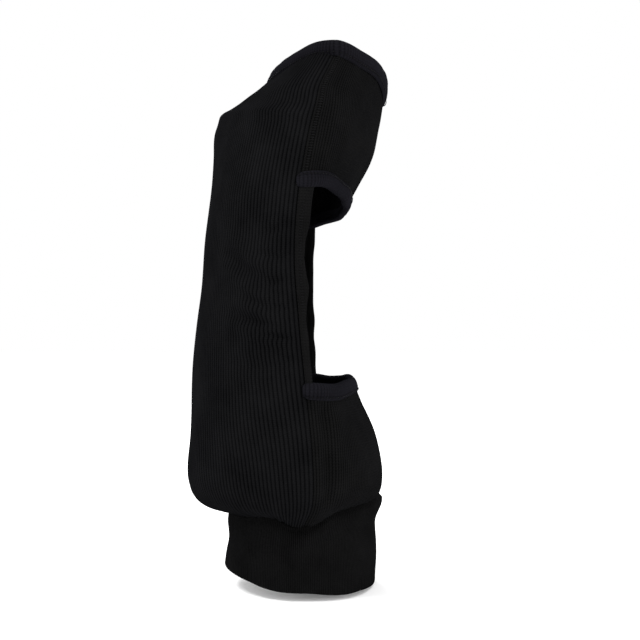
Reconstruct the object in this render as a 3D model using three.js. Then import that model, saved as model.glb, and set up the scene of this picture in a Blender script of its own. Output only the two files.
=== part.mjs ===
// Rib-knit balaclava with an open bound crown, a wide face opening and a folded neck cuff.
// Millimetres. The origin is the centre of the wearer's head, +Z is up and the face looks along -Y,
// so the wearer's right is -X. Every cloth piece is a flat blank bent onto one shared body surface.
import * as THREE from 'three';
import { mergeVertices } from 'three/addons/utils/BufferGeometryUtils.js';

// Driving dimensions
const KNIT = 2.0; // one layer of the rib knit
const GAP = 0.3; // clearance between neighbouring pieces
const BINDING_WIDTH = 9; // from the folded edge of a binding to its cut edge
const BINDING_WALL = 1.5; // one layer of the binding strip
const BINDING_FOLD = 2.0; // height of cloth in the fold, above the elastic
const ELASTIC = { height: 3.3, thickness: 1.4 };
const THREAD_RADIUS = 0.35;
const STITCH_INSET = 1.4; // from a binding's cut edge to its row of stitches
const BAND = { atBrow: 9.5, atChin: 6, inner: -1.8, outer: 1.2, stitchInset: 2.4 };
const OVERLOCK = { width: 5.5, thickness: 1.4 };
const CUFF = { centreY: -17.4, halfDepth: 48.7, halfWidth: 52.7, layer: 2.0, slot: 0.6 };
const CUFF_TOP = { back: -153.2, side: -148.2, front: -139.6 };
const CUFF_BOTTOM = { back: -189.0, side: -197.0, front: -201.0 };
const CUFF_BULGE = { back: 0, side: 1.2, front: 5 }; // how far the gathered top stands out
const CUFF_BULGE_DEPTH = 20; // from the seam down to where the cuff is straight again

// The neck seam dips at each side seam, where the seam allowances meet: how deep, and how far round in
// degrees and up in rings the dip reaches
const SEAM_DIP = { depth: 7.2, spread: 16, rings: 1.6 };

// The body surface is a stack of rings, from the neck seam up to the top edge of the crown binding.
// Each ring runs through the centre back [y, z], both side seams [y, z, half width] and the centre
// front [y, z]. A fullness of 2 makes an ellipse, and a lower one pinches the ring to a lens.
const RINGS = [
  { back: [31.5, -150.0], side: [-20.0, -145.6, 55.5], front: [-70.8, -137.5], fullness: 2.0 }, // neck seam
  { back: [55.0, -141.4], side: [-24.5, -139.5, 71], front: [-72.2, -131.5], fullness: 2.0 },
  { back: [60.5, -129.0], side: [-26.0, -126.5, 85], front: [-72.2, -120.5], fullness: 2.0 }, // nape
  { back: [59.2, -97.0], side: [-25.0, -97.0, 97], front: [-67.5, -97.0], fullness: 2.0 },
  { back: [57.0, -57.5], side: [-21.0, -57.5, 103.5], front: [-51.0, -57.5], fullness: 2.0 }, // chin edge
  { back: [53.0, -20.0], side: [-17.5, -20.0, 106], front: [-45.0, -20.0], fullness: 2.0 },
  { back: [49.0, 18.0], side: [-15.0, 18.0, 106.5], front: [-43.0, 18.0], fullness: 2.0 }, // eyes
  { back: [45.4, 55.0], side: [-17.5, 57.0, 106], front: [-47.0, 58.5], fullness: 2.0 }, // brow edge
  { back: [42.2, 92.0], side: [-23.5, 93.0, 104.5], front: [-65.3, 94.0], fullness: 1.85 }, // temples
  { back: [41.1, 111.3], side: [-27.5, 110.0, 102.5], front: [-68.8, 108.0], fullness: 1.7 },
  { back: [34.8, 122.0], side: [-29.5, 120.5, 98.5], front: [-70.6, 119.0], fullness: 1.6 }, // crown crease
  { back: [17.0, 134.5], side: [-35.5, 135.0, 90.5], front: [-72.5, 133.0], fullness: 1.55 },
  { back: [-0.5, 149.0], side: [-42.5, 150.5, 82], front: [-75.8, 148.5], fullness: 1.6 }, // crown edge
];
const NECK_RING = 0;
const CHIN_RING = 4;
const BROW_RING = 7;
const CROWN_RING = RINGS.length - 1;

// Places round the body, in degrees from the centre front
const RIGHT_SEAM = 90;
const LEFT_SEAM = -90;
const FULL_TURN = 360;

// How a measure given at the back, side and front changes in between
const BLEND_POWER = 1.3;

// Facets round the whole body, shared by neighbouring pieces so that their faces stay parallel
const TURN_FACETS = 56;
const HALF_FACETS = TURN_FACETS / 2;

const profile = (points) => new THREE.CatmullRomCurve3(points, false, 'centripetal');
const backProfile = profile(RINGS.map(({ back: [y, z] }) => new THREE.Vector3(0, y, z)));
const sideProfile = profile(RINGS.map(({ side: [y, z, halfWidth] }) => new THREE.Vector3(halfWidth, y, z)));
const frontProfile = profile(RINGS.map(({ front: [y, z] }) => new THREE.Vector3(0, y, z)));

function fullnessAt(ring) {
  const below = THREE.MathUtils.clamp(Math.floor(ring), NECK_RING, CROWN_RING - 1);
  return THREE.MathUtils.lerp(RINGS[below].fullness, RINGS[below + 1].fullness, ring - below);
}

// How far the cloth dips at a turn, as a share of the depth of the dip
function seamDip(turn) {
  const toFront = Math.cos(THREE.MathUtils.degToRad(turn));
  const offSeam = THREE.MathUtils.radToDeg(Math.asin(Math.abs(toFront)));
  return Math.exp(-((offSeam / SEAM_DIP.spread) ** 3));
}

// The point of the body surface at a turn in degrees and a ring number, which may be a fraction
function bodyPoint(turn, ring) {
  const angle = THREE.MathUtils.degToRad(turn);
  const toFront = Math.cos(angle);
  const side = sideProfile.getPoint(ring / CROWN_RING);
  const centre = (toFront > 0 ? frontProfile : backProfile).getPoint(ring / CROWN_RING);
  const fullness = fullnessAt(ring);
  const dip = SEAM_DIP.depth * seamDip(turn) * Math.max(0, 1 - ring / SEAM_DIP.rings) ** 2;
  const reach = (Math.abs(Math.sin(angle)) ** fullness + Math.abs(toFront) ** fullness) ** (-1 / fullness);
  return new THREE.Vector3(
    -side.x * reach * Math.sin(angle),
    side.y + (centre.y - side.y) * reach * Math.abs(toFront),
    side.z + (centre.z - side.z) * Math.abs(toFront) ** BLEND_POWER - dip,
  );
}

const TURN_STEP = 0.5; // degrees, for slopes
const RING_STEP = 0.02; // rings, for slopes
const WALK_STEPS = 6; // for measuring a distance over the curved cloth

function ringsBeside(ring) {
  const low = THREE.MathUtils.clamp(ring - RING_STEP, NECK_RING, CROWN_RING - RING_STEP);
  return [low, Math.min(low + 2 * RING_STEP, CROWN_RING)];
}

// The unit direction out of the cloth
function outOfCloth(turn, ring) {
  const [low, high] = ringsBeside(ring);
  const along = bodyPoint(turn + TURN_STEP, ring).sub(bodyPoint(turn - TURN_STEP, ring));
  const up = bodyPoint(turn, high).sub(bodyPoint(turn, low));
  return up.cross(along).normalize();
}

function onCloth(turn, ring, depth) {
  return bodyPoint(turn, ring).addScaledVector(outOfCloth(turn, ring), depth);
}

// The turn that lies `distance` mm further round the ring
function turnBeyond(turn, ring, distance) {
  let reached = turn;
  for (let i = 0; i < WALK_STEPS; i += 1) {
    const span = bodyPoint(reached + TURN_STEP, ring).distanceTo(bodyPoint(reached - TURN_STEP, ring));
    reached += (2 * TURN_STEP * distance) / WALK_STEPS / span;
  }
  return reached;
}

// The ring number that lies `distance` mm further up the cloth
function ringBeyond(turn, ring, distance) {
  let reached = ring;
  for (let i = 0; i < WALK_STEPS; i += 1) {
    const [low, high] = ringsBeside(reached);
    const span = bodyPoint(turn, high).distanceTo(bodyPoint(turn, low));
    reached += ((high - low) * distance) / WALK_STEPS / span;
  }
  return reached;
}

// Moves every corner of a blank with `place` and joins the shared corners into one closed mesh
function bend(blank, place) {
  blank.deleteAttribute('normal');
  blank.deleteAttribute('uv');
  const corners = blank.attributes.position;
  const corner = new THREE.Vector3();
  for (let i = 0; i < corners.count; i += 1) {
    corner.fromBufferAttribute(corners, i);
    const { x, y, z } = place(corner);
    corners.setXYZ(i, x, y, z);
  }
  const bent = mergeVertices(blank, 1e-3);
  bent.computeVertexNormals();
  return bent;
}

// A cloth panel between two turns, given for each ring, and two rings, given for each turn
function panel({ from, to, low, high, across, up, inner = -KNIT / 2, outer = KNIT / 2 }) {
  const blank = new THREE.BoxGeometry(1, 1, 1, across, 1, up).translate(0.5, 0.5, 0.5);
  return bend(blank, ({ x, y, z }) => {
    const roughTurn = THREE.MathUtils.lerp(from(CHIN_RING), to(CHIN_RING), x);
    const ring = THREE.MathUtils.lerp(low(roughTurn), high(roughTurn), z);
    const turn = THREE.MathUtils.lerp(from(ring), to(ring), x);
    return onCloth(turn, ring, THREE.MathUtils.lerp(inner, outer, y));
  });
}

// A section drawn as [out of the cloth, up the cloth], run round the body from one turn to another
function hoop(section, fromTurn, toTurn, steps, place) {
  const blank = new THREE.ExtrudeGeometry(section, { depth: 1, steps, bevelEnabled: false, curveSegments: 3 });
  return bend(blank, ({ x, y, z }) => place(THREE.MathUtils.lerp(fromTurn, toTurn, z), x, y));
}

// A folded strip: its round fold is at height 0 and its open slot, which grips the panel, faces down
function bindingSection() {
  const slot = KNIT / 2 + GAP;
  const half = slot + BINDING_WALL;
  return new THREE.Shape()
    .moveTo(half, -BINDING_WIDTH)
    .lineTo(half, -half)
    .absarc(0, -half, half, 0, Math.PI)
    .lineTo(-half, -BINDING_WIDTH)
    .lineTo(-slot, -BINDING_WIDTH)
    .lineTo(-slot, -BINDING_FOLD)
    .lineTo(slot, -BINDING_FOLD)
    .lineTo(slot, -BINDING_WIDTH);
}

function blockSection(inner, outer, bottom, top) {
  return new THREE.Shape().moveTo(inner, bottom).lineTo(outer, bottom).lineTo(outer, top).lineTo(inner, top);
}

function elasticSection() {
  const half = ELASTIC.thickness / 2;
  const top = -BINDING_FOLD - GAP;
  return blockSection(-half, half, top - ELASTIC.height, top);
}

function threadSection(x, y) {
  const sides = 5;
  const points = Array.from({ length: sides }, (_, i) => {
    const angle = (i / sides) * 2 * Math.PI;
    return new THREE.Vector2(x + THREAD_RADIUS * Math.cos(angle), y + THREAD_RADIUS * Math.sin(angle));
  });
  return new THREE.Shape(points);
}

function bindingStitchSection() {
  const face = KNIT / 2 + GAP + BINDING_WALL;
  return threadSection(face + GAP + THREAD_RADIUS, -BINDING_WIDTH + STITCH_INSET);
}

// The distance from a binding's fold to the cut edge of the panel inside it
const PANEL_SETBACK = BINDING_FOLD + GAP + ELASTIC.height + 2 * GAP;

const besideSeam = (seam, distance) => (ring) => turnBeyond(seam, ring, distance);
const atRing = (ring, distance) => (turn) => ringBeyond(turn, ring, distance);
const backFromRight = besideSeam(RIGHT_SEAM, GAP / 2);
const backToLeft = besideSeam(LEFT_SEAM + FULL_TURN, -GAP / 2);
const frontFromLeft = besideSeam(LEFT_SEAM, GAP / 2);
const frontToRight = besideSeam(RIGHT_SEAM, -GAP / 2);

const group = new THREE.Group();

function add(name, geometry, color, roughness) {
  const mesh = new THREE.Mesh(geometry, new THREE.MeshStandardMaterial({ color, roughness, metalness: 0 }));
  mesh.name = name;
  group.add(mesh);
}

const RIB_BLACK = 0x151516;
const SMOOTH_BLACK = 0x171515;
const BINDING_BLACK = 0x1c1c25;
const CUFF_BLACK = 0x161515;
const ELASTIC_BLACK = 0x202022;
const THREAD_BLACK = 0x1a1a1c;

// The wide panel from the right seam round the back of the head to the left seam
function addBackPanel() {
  const geometry = panel({
    from: backFromRight,
    to: backToLeft,
    low: () => NECK_RING,
    high: atRing(CROWN_RING, -PANEL_SETBACK),
    across: HALF_FACETS,
    up: 24,
  });
  add('back_panel', geometry, RIB_BLACK, 0.95);
}

function addForeheadPanel() {
  const geometry = panel({
    from: frontFromLeft,
    to: frontToRight,
    low: atRing(BROW_RING, PANEL_SETBACK),
    high: atRing(CROWN_RING, -PANEL_SETBACK),
    across: HALF_FACETS,
    up: 10,
  });
  add('forehead_panel', geometry, SMOOTH_BLACK, 0.95);
}

function addChinPanel() {
  const geometry = panel({
    from: frontFromLeft,
    to: frontToRight,
    low: () => NECK_RING,
    high: atRing(CHIN_RING, -PANEL_SETBACK),
    across: HALF_FACETS,
    up: 8,
  });
  add('chin_panel', geometry, SMOOTH_BLACK, 0.95);
}

// The folded strip that edges the face opening beside each seam, between the chin and brow bindings
function addFaceBand(side, seam) {
  const toFront = seam > 0 ? -1 : 1;
  const seamEdge = besideSeam(seam, (toFront * GAP) / 2);
  const freeEdge = (ring) => {
    const share = (ring - CHIN_RING) / (BROW_RING - CHIN_RING);
    return turnBeyond(seam, ring, toFront * THREE.MathUtils.lerp(BAND.atChin, BAND.atBrow, share));
  };
  const low = atRing(CHIN_RING, GAP);
  const high = atRing(BROW_RING, -GAP);
  const [from, to] = seam > 0 ? [freeEdge, seamEdge] : [seamEdge, freeEdge];
  const geometry = panel({ from, to, low, high, across: 4, up: 12, inner: BAND.inner, outer: BAND.outer });
  add(`${side}_face_band`, geometry, SMOOTH_BLACK, 0.95);

  const thread = new THREE.ExtrudeGeometry(threadSection(0, 0), { depth: 1, steps: 12, bevelEnabled: false });
  const stitches = bend(thread, ({ x, y, z }) => {
    const ring = THREE.MathUtils.lerp(low(seam), high(seam), z);
    const turn = turnBeyond(seam, ring, toFront * BAND.stitchInset + x);
    return onCloth(turn, ring, BAND.outer + GAP + THREAD_RADIUS + y);
  });
  add(`${side}_band_topstitch`, stitches, THREAD_BLACK, 0.8);
}

// The trimmed and overcast seam allowance, pressed flat behind the back panel
function addSeamOverlock(side, seam) {
  const towardBack = seam > 0 ? 1 : -1;
  const near = besideSeam(seam, towardBack * GAP);
  const far = besideSeam(seam, towardBack * (GAP + OVERLOCK.width));
  const [from, to] = seam > 0 ? [near, far] : [far, near];
  const outer = -KNIT / 2 - 2 * GAP;
  const geometry = panel({
    from,
    to,
    low: atRing(NECK_RING, OVERLOCK.width),
    high: atRing(CROWN_RING, -BINDING_WIDTH - GAP),
    across: 1,
    up: 24,
    inner: outer - OVERLOCK.thickness,
    outer,
  });
  add(`${side}_seam_overlock`, geometry, THREAD_BLACK, 0.9);
}

// A binding with its elastic and its row of stitches. `upright` is 1 where the fold is the top edge.
function addBinding(name, ring, fromTurn, toTurn, steps, upright) {
  const [first, last] = upright > 0 ? [fromTurn, toTurn] : [toTurn, fromTurn];
  const place = (turn, out, up) => onCloth(turn, ringBeyond(turn, ring, upright * up), out);
  add(`${name}_binding`, hoop(bindingSection(), first, last, steps, place), BINDING_BLACK, 0.9);
  add(`${name}_elastic`, hoop(elasticSection(), first, last, steps, place), ELASTIC_BLACK, 0.8);
  add(`${name}_topstitch`, hoop(bindingStitchSection(), first, last, steps, place), THREAD_BLACK, 0.8);
}

// The value at a turn of a measure given at the back, side and front
function around({ back, side, front }, turn) {
  const toFront = Math.cos(THREE.MathUtils.degToRad(turn));
  return THREE.MathUtils.lerp(side, toFront > 0 ? front : back, Math.abs(toFront) ** BLEND_POWER);
}

// A point of the cuff at a turn, `out` mm from the middle of its cloth and a share of its height down
function cuffPoint(turn, out, down) {
  const angle = THREE.MathUtils.degToRad(turn);
  const top = around(CUFF_TOP, turn) - SEAM_DIP.depth * seamDip(turn);
  const z = THREE.MathUtils.lerp(top, around(CUFF_BOTTOM, turn), down);
  const calm = THREE.MathUtils.smoothstep(top - z, 0, CUFF_BULGE_DEPTH);
  const reach = out + around(CUFF_BULGE, turn) * (1 - calm);
  return new THREE.Vector3(
    -(CUFF.halfWidth + reach) * Math.sin(angle),
    CUFF.centreY - (CUFF.halfDepth + reach) * Math.cos(angle),
    z,
  );
}

// The neck cuff: one tube of rib folded up inside itself, with its two cut edges at the top
function addNeckCuff() {
  const height = CUFF_TOP.side - CUFF_BOTTOM.side;
  const half = CUFF.layer + CUFF.slot / 2;
  const slot = CUFF.slot / 2;
  const bends = [0.1, 0.2, 0.3, 0.4].map((share) => -share * height);
  const section = new THREE.Shape().moveTo(-half, 0);
  bends.forEach((y) => section.lineTo(-half, y));
  section.lineTo(-half, half - height).absarc(0, half - height, half, Math.PI, 2 * Math.PI);
  bends.toReversed().forEach((y) => section.lineTo(half, y));
  section.lineTo(half, 0).lineTo(slot, 0);
  bends.forEach((y) => section.lineTo(slot, y));
  section.lineTo(slot, half - height).lineTo(-slot, half - height);
  bends.toReversed().forEach((y) => section.lineTo(-slot, y));
  section.lineTo(-slot, 0);
  const [fromTurn, toTurn] = openHoop((turn, distance) => turn + THREE.MathUtils.radToDeg(distance / CUFF.halfDepth));
  const place = (turn, out, up) => cuffPoint(turn, out, -up / height);
  add('neck_cuff', hoop(section, fromTurn, toTurn, TURN_FACETS, place), CUFF_BLACK, 0.95);

  const outer = -half - 2 * GAP;
  const allowance = blockSection(outer - OVERLOCK.thickness, outer, -OVERLOCK.width - 1, -1);
  add('cuff_overlock', hoop(allowance, fromTurn, toTurn, TURN_FACETS, place), THREAD_BLACK, 0.9);
}

// A full hoop from centre back to centre back, open by one gap where its two ends are joined
function openHoop(walk) {
  const back = -FULL_TURN / 2;
  return [walk(back, GAP / 2), walk(back + FULL_TURN, -GAP / 2)];
}

addBackPanel();
addForeheadPanel();
addChinPanel();
for (const [side, seam] of [['right', RIGHT_SEAM], ['left', LEFT_SEAM]]) {
  addFaceBand(side, seam);
  addSeamOverlock(side, seam);
}
const [crownFrom, crownTo] = openHoop((turn, distance) => turnBeyond(turn, CROWN_RING, distance));
addBinding('crown', CROWN_RING, crownFrom, crownTo, TURN_FACETS, 1);
addBinding('brow', BROW_RING, frontFromLeft(BROW_RING), frontToRight(BROW_RING), HALF_FACETS, -1);
addBinding('chin', CHIN_RING, frontFromLeft(CHIN_RING), frontToRight(CHIN_RING), HALF_FACETS, 1);
addNeckCuff();

export default group;
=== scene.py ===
"""A black rib-knit balaclava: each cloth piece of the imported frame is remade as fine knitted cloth."""
import math

import bpy
import numpy as np
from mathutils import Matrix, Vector


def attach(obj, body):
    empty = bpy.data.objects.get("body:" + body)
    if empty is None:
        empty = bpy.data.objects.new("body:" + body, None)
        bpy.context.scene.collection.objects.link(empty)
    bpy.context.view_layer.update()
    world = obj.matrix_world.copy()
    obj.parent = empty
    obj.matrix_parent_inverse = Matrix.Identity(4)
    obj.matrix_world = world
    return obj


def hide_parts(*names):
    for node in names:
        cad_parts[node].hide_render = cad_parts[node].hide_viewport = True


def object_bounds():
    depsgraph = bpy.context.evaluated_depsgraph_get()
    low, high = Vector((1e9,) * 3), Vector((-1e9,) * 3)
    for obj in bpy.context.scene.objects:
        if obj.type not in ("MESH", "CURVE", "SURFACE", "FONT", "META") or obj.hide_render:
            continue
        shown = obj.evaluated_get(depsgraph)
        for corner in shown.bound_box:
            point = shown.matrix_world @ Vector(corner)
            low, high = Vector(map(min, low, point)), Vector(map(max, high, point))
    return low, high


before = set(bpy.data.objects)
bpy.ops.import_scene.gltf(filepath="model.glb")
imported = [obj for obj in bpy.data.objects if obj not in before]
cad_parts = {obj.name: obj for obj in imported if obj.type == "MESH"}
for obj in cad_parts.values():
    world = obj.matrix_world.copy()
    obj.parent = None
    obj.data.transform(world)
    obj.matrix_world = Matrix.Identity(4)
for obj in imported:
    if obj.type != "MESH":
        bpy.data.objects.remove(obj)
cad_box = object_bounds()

# ---------- dimensions

CAD_HEIGHT = 351.93  # mm, so that every size here follows the frame's own height
MM = (cad_box[1][2] - cad_box[0][2]) / CAD_HEIGHT

# The body is a stack of rings from the neck seam to the crown edge, in mm. Each ring has its centre back
# (y, z), its side seams (y, z, half width), its centre front (y, z) and its fullness: 2 is an ellipse.
RINGS = [
    ((31.5, -150.0), (-20.0, -145.6, 55.5), (-70.8, -137.5), 2.0),  # neck seam
    ((55.0, -141.4), (-24.5, -139.5, 71), (-72.2, -131.5), 2.0),
    ((60.5, -129.0), (-26.0, -126.5, 85), (-72.2, -120.5), 2.0),  # nape
    ((59.2, -97.0), (-25.0, -97.0, 97), (-67.5, -97.0), 2.0),
    ((57.0, -57.5), (-21.0, -57.5, 103.5), (-51.0, -57.5), 2.0),  # chin edge
    ((53.0, -20.0), (-17.5, -20.0, 106), (-45.0, -20.0), 2.0),
    ((49.0, 18.0), (-15.0, 18.0, 106.5), (-43.0, 18.0), 2.0),  # eyes
    ((45.4, 55.0), (-17.5, 57.0, 106), (-47.0, 58.5), 2.0),  # brow edge
    ((42.2, 92.0), (-23.5, 93.0, 104.5), (-65.3, 94.0), 1.85),  # temples
    ((41.1, 111.3), (-27.5, 110.0, 102.5), (-68.8, 108.0), 1.7),
    ((34.8, 122.0), (-29.5, 120.5, 98.5), (-70.6, 119.0), 1.6),  # crown crease
    ((17.0, 134.5), (-35.5, 135.0, 90.5), (-72.5, 133.0), 1.55),
    ((-0.5, 149.0), (-42.5, 150.5, 82), (-75.8, 148.5), 1.6),  # crown edge
]
NECK, CHIN, BROW, CROWN = 0, 4, 7, len(RINGS) - 1
RIGHT, LEFT = 90.0, -90.0  # the side seams, in degrees from the centre front
BLEND_POWER = 1.3  # how heights change from the side to the front and back
DIP_DEPTH, DIP_SPREAD, DIP_RINGS = 7.2, 16.0, 1.6  # the neck seam dips at each side seam

CUFF_CENTRE_Y, CUFF_HALF_DEPTH, CUFF_HALF_WIDTH = -17.4, 51.0, 55.0
CUFF_TOP = {"back": -153.2, "side": -148.2, "front": -139.6}
CUFF_BOTTOM = {"back": -189.0, "side": -197.0, "front": -201.0}
CUFF_BULGE = {"back": 0.0, "side": 1.2, "front": 5.0}  # how far its top stands out
CUFF_BULGE_DEPTH = 20.0  # how far down the bulge reaches

KNIT = 2.0  # thickness of the body cloth

# ---------- the body surface

PROFILE_STEPS = 60  # samples between two rings
TURN_STEP, RING_STEP = 0.8, 0.03  # how far to each side a slope is measured, in degrees and in rings
WALK_STEPS = 6  # a distance along the cloth is walked in this many short steps


def profile(points):
    """A centripetal Catmull-Rom curve through the points, PROFILE_STEPS samples for each ring."""
    p = np.array(points, float)
    p = np.vstack([2 * p[0] - p[1], p, 2 * p[-1] - p[-2]])
    t = np.linspace(0, 1, PROFILE_STEPS, endpoint=False)[:, None]
    pieces = []
    for a, b, c, d in zip(p[:-3], p[1:-2], p[2:-1], p[3:]):
        before, between, after = (math.sqrt(np.linalg.norm(v)) for v in (b - a, c - b, d - c))
        start = ((b - a) / before - (c - a) / (before + between) + (c - b) / between) * between
        end = ((c - b) / between - (d - b) / (between + after) + (d - c) / after) * between
        square = -3 * b + 3 * c - 2 * start - end
        cube = 2 * b - 2 * c + start + end
        pieces.append(b + start * t + square * t**2 + cube * t**3)
    return np.vstack(pieces + [p[-2:-1]])


RING_AT = np.linspace(0, CROWN, CROWN * PROFILE_STEPS + 1)
BACK_CURVE = profile([(0, *ring[0]) for ring in RINGS])
SIDE_CURVE = profile([(ring[1][2], ring[1][0], ring[1][1]) for ring in RINGS])
FRONT_CURVE = profile([(0, *ring[2]) for ring in RINGS])
FULLNESS = [ring[3] for ring in RINGS]


def neck_dip(turn):
    """How many mm the neck seam dips at a turn."""
    off_seam = np.degrees(np.arcsin(np.abs(np.cos(np.radians(turn)))))
    return DIP_DEPTH * np.exp(-((off_seam / DIP_SPREAD) ** 3))


def body_point(turn, ring):
    """Points of the body surface, in mm, at turns in degrees and ring numbers that may be fractions."""
    angle = np.radians(turn)
    to_front = np.cos(angle)
    side_x, side_y, side_z = (np.interp(ring, RING_AT, SIDE_CURVE[:, i]) for i in range(3))
    front_y, front_z = (np.interp(ring, RING_AT, FRONT_CURVE[:, i]) for i in (1, 2))
    back_y, back_z = (np.interp(ring, RING_AT, BACK_CURVE[:, i]) for i in (1, 2))
    y = np.where(to_front > 0, front_y, back_y)
    z = np.where(to_front > 0, front_z, back_z)
    full = np.interp(ring, np.arange(len(RINGS)), FULLNESS)
    reach = (np.abs(np.sin(angle)) ** full + np.abs(to_front) ** full) ** (-1 / full)
    dip = neck_dip(turn) * np.clip(1 - ring / DIP_RINGS, 0, None) ** 2
    return np.stack(
        [
            -side_x * reach * np.sin(angle),
            side_y + (y - side_y) * reach * np.abs(to_front),
            side_z + (z - side_z) * np.abs(to_front) ** BLEND_POWER - dip,
        ],
        axis=-1,
    )


def unit(v):
    """The directions of vectors, each with a length of 1."""
    return v / np.maximum(np.linalg.norm(v, axis=-1, keepdims=True), 1e-9)


def body_axes(turn, ring):
    """Unit directions along the ring, up the cloth and out of it."""
    low = np.clip(ring - RING_STEP, 0, CROWN - RING_STEP)
    high = np.clip(ring + RING_STEP, RING_STEP, CROWN)
    along = unit(body_point(turn + TURN_STEP, ring) - body_point(turn - TURN_STEP, ring))
    up = unit(body_point(turn, high) - body_point(turn, low))
    out = unit(np.cross(up, along))
    return along, np.cross(along, out), out


def ring_beyond(turn, ring, distance):
    """The ring numbers that lie `distance` mm further up the cloth."""
    reached = ring + np.zeros(np.broadcast(turn, ring, distance).shape)
    for _ in range(WALK_STEPS):
        low = np.clip(reached - RING_STEP, 0, CROWN - 2 * RING_STEP)
        span = np.linalg.norm(body_point(turn, low + 2 * RING_STEP) - body_point(turn, low), axis=-1)
        reached = reached + 2 * RING_STEP * distance / WALK_STEPS / span
    return reached


def turn_beyond(turn, ring, distance):
    """The turns that lie `distance` mm further round the ring."""
    reached = turn + np.zeros(np.broadcast(turn, ring, distance).shape)
    for _ in range(WALK_STEPS):
        ahead, behind = body_point(reached + TURN_STEP, ring), body_point(reached - TURN_STEP, ring)
        span = np.linalg.norm(ahead - behind, axis=-1)
        reached = reached + 2 * TURN_STEP * distance / WALK_STEPS / span
    return reached


def walked_along(points):
    """How far along a line of points each one lies, in mm."""
    return np.concatenate([[0], np.cumsum(np.linalg.norm(np.diff(points, axis=0), axis=1))])


def even_turns(rings, start, end, count):
    """For each ring, `count` turns evenly spaced along the cloth, and the length of that stretch in mm."""
    sweep = start + (end - start) * np.linspace(0, 1, 400)
    turns = np.empty((len(rings), count))
    lengths = np.empty(len(rings))
    for row, ring in enumerate(rings):
        walked = walked_along(body_point(sweep, np.full_like(sweep, ring)))
        turns[row] = np.interp(np.linspace(0, walked[-1], count), walked, sweep)
        lengths[row] = walked[-1]
    return turns, lengths


def even_rings(low, high, turn, spacing):
    """Ring numbers from low to high, about `spacing` mm apart along the cloth at one turn."""
    dense = np.linspace(low, high, 600)
    walked = walked_along(body_point(np.full_like(dense, turn), dense))
    count = max(int(round(walked[-1] / spacing)) + 1, 3)
    return np.interp(np.linspace(0, walked[-1], count), walked, dense)


# ---------- relief

WAVE_COUNT = 7  # sine waves in one undulation
CREST_HEIGHT = 0.55  # of a crease's depth
CREST_PLACE, CREST_WIDTH = 2.1, 1.1  # of a crease's width


def near(distance, reach):
    """1 at no distance, falling smoothly to nothing beyond about twice the reach."""
    return np.exp(-((distance / reach) ** 2))


def smooth(share):
    """A smooth step from 0 to 1 as the share goes from 0 to 1."""
    share = np.clip(share, 0, 1)
    return share * share * (3 - 2 * share)


def waves(seed, x, y, wavelength, amplitude):
    """Soft irregular undulation, the same on every run: a few sine waves in random directions."""
    draw = np.random.default_rng(seed)
    total = np.zeros(np.broadcast(x, y).shape)
    for _ in range(WAVE_COUNT):
        heading, phase = draw.uniform(0, 2 * math.pi, 2)
        length = wavelength * draw.uniform(0.7, 1.5)
        walked = x * math.cos(heading) + y * math.sin(heading)
        total = total + np.sin(walked * 2 * math.pi / length + phase)
    return amplitude * total / math.sqrt(WAVE_COUNT)


def gathers(place, first, second, share, phase):
    """Uneven puckers: a sine wave, and a weaker one of another length."""
    whole_turns = 2 * math.pi * place
    return np.sin(whole_turns / first) + share * np.sin(whole_turns / second + phase)


def crease(x, y, centre, degrees, length, width, depth):
    """A soft fold line: a valley with a lower crest on each side, fading towards its ends."""
    angle = math.radians(degrees)
    dx, dy = x - centre[0], y - centre[1]
    along = dx * math.cos(angle) + dy * math.sin(angle)
    across = dy * math.cos(angle) - dx * math.sin(angle)
    crest = CREST_HEIGHT * near(np.abs(across) - CREST_PLACE * width, CREST_WIDTH * width)
    return depth * near(along, length) * (crest - near(across, width))


def rib_wave(count):
    """A row of round ribs with narrow valleys, from 0 in a valley to 1 on a crest."""
    return np.abs(np.sin(math.pi * count)) ** 0.7


# ---------- meshes

def lattice(name, points, uv, painted_light, closed=False):
    """A closed mesh from rows of looped sections in mm. `closed` joins the last row to the first, and
    uv then has one row more. Otherwise both ends are filled. The last values set how light the colour
    is painted at each point, from 0 for full painted shade, as in a hollow, to 1 for full painted light."""
    rows, loop = points.shape[:2]
    spans = rows if closed else rows - 1
    row, place = (v.ravel() for v in np.meshgrid(np.arange(spans), np.arange(loop), indexing="ij"))
    next_row, next_place = row + 1, (place + 1) % loop
    corners = [(row, place), (row, next_place), (next_row, next_place), (next_row, place)]
    faces = np.stack([(a % rows) * loop + b for a, b in corners], axis=1)
    uv_faces = np.stack([a * loop + b for a, b in corners], axis=1)
    if not closed:
        half = np.arange(loop // 2 - 1)
        end = np.stack([half, half + 1, loop - 2 - half, loop - 1 - half], axis=1)
        last = (rows - 1) * loop
        caps = np.vstack([end, end[:, ::-1] + last])
        faces, uv_faces = np.vstack([faces, caps]), np.vstack([uv_faces, caps])
    flat = points.reshape(-1, 3)
    a, b, c, d = (flat[faces[:, i]] for i in range(4))
    volume = np.einsum("ij,ij->", a, np.cross(b, c)) + np.einsum("ij,ij->", a, np.cross(c, d))
    if volume < 0:
        faces, uv_faces = faces[:, ::-1], uv_faces[:, ::-1]
    return mesh_object(name, flat, faces, uv.reshape(-1, 2)[uv_faces.ravel()], painted_light.ravel())


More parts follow.
